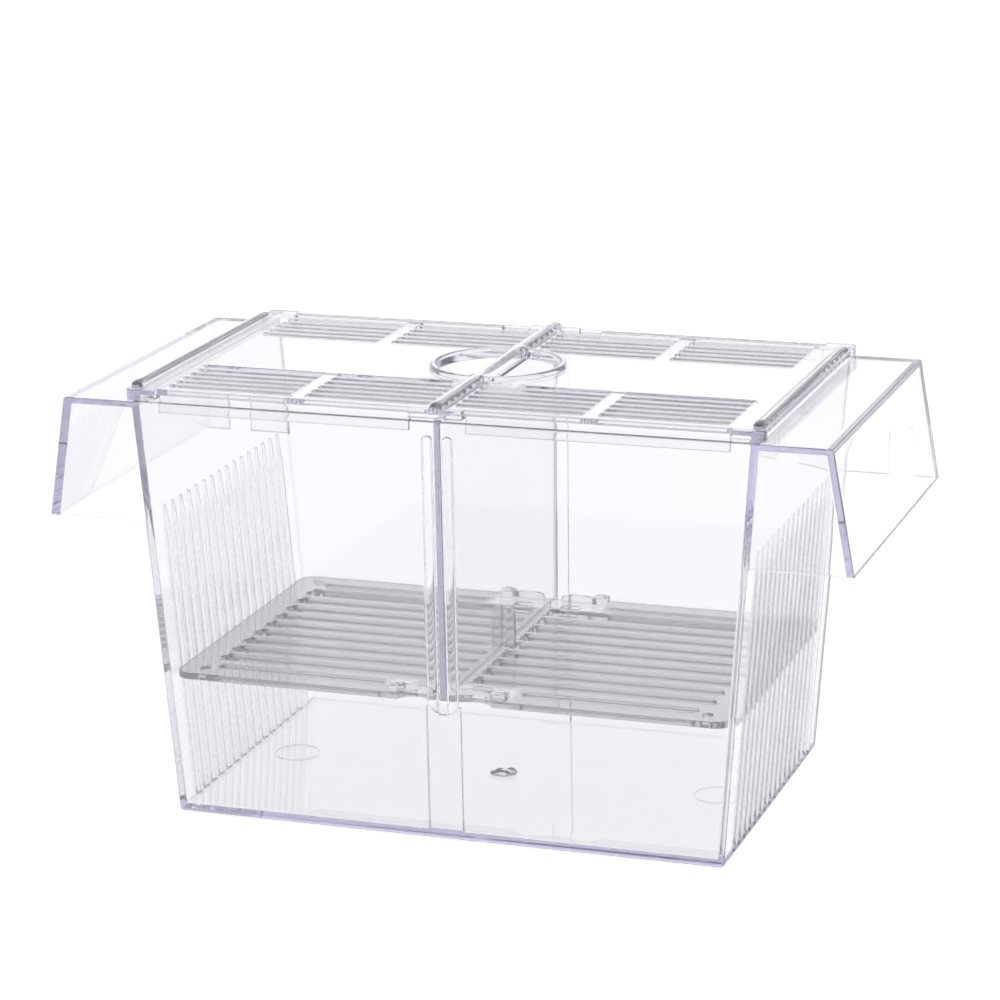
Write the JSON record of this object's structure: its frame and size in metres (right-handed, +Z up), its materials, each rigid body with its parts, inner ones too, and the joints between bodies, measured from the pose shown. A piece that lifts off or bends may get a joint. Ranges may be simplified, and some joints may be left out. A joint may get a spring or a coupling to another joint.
{
  "type": "fish breeding box",
  "caption": "Clear plastic fish breeding box with hollow floats at its ends, slotted end walls, a slotted tray, a lift-out divider and a slotted lid with a round feeding hole.",
  "frame": {"origin": "on the table below the middle of the tank: the middle of the underside of the bounding box", "axes": "+X along the box towards the right float, +Y towards the rear wall that faces the aquarium glass, +Z up"},
  "size_m": [0.2588, 0.12, 0.1398],
  "materials": {
    "clear_plastic": "polished, transparent",
    "tray_plastic": "polished, transparent, looks greyer for its slots"
  },
  "bodies": {
    "tank": {"tank": "clear_plastic"},
    "tray": {"tray": "tray_plastic"},
    "divider": {"divider": "clear_plastic"},
    "lid": {"lid": "clear_plastic"}
  },
  "joints": [
    {"name": "tray_lift", "type": "slide", "parent": "tank", "child": "tray", "axis": [0, 0, 1], "range_m": [0, 0.1]},
    {"name": "divider_lift", "type": "slide", "parent": "tray", "child": "divider", "axis": [0, 0, 1], "range_m": [0, 0.1]},
    {"name": "lid_lift", "type": "slide", "parent": "divider", "child": "lid", "axis": [0, 0, 1], "range_m": [0, 0.06]}
  ]
}
